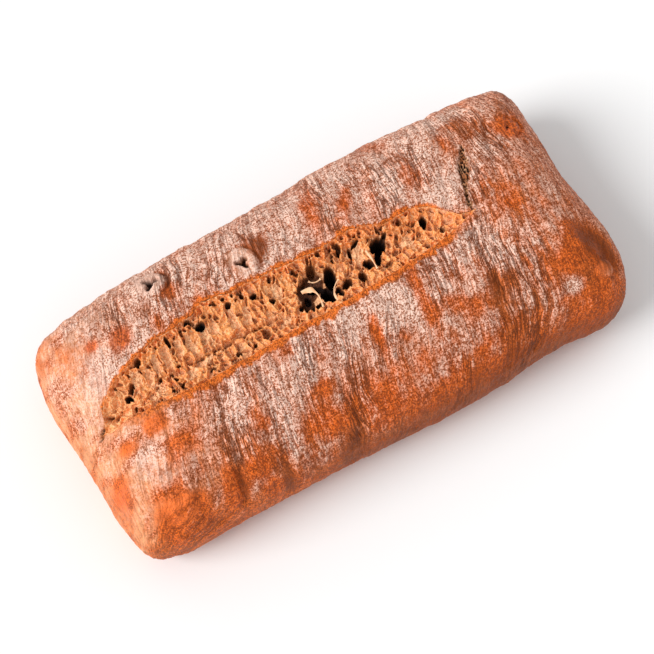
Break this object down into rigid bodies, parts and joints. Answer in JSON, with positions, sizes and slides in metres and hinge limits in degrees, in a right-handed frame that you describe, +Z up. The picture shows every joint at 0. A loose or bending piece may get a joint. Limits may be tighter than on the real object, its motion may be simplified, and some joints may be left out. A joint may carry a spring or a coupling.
{
  "type": "ciabatta loaf",
  "caption": "Whole ciabatta: a long, low, soft-cornered loaf with a flat base, a wrinkled floured crust and a torn open gash along its top.",
  "frame": {"origin": "centre of the loaf's bounding box, on the flat face it rests on", "axes": "+X along the loaf, +Y across it to the side that the gash's wider lip is on, +Z up out of the base"},
  "size_m": [0.2416, 0.1218, 0.0593],
  "materials": {
    "crust": "dry baked crust, browned orange with a dusting of flour, tan open crumb in the gash"
  },
  "bodies": {
    "root": {"ciabatta": "crust"}
  },
  "joints": []
}
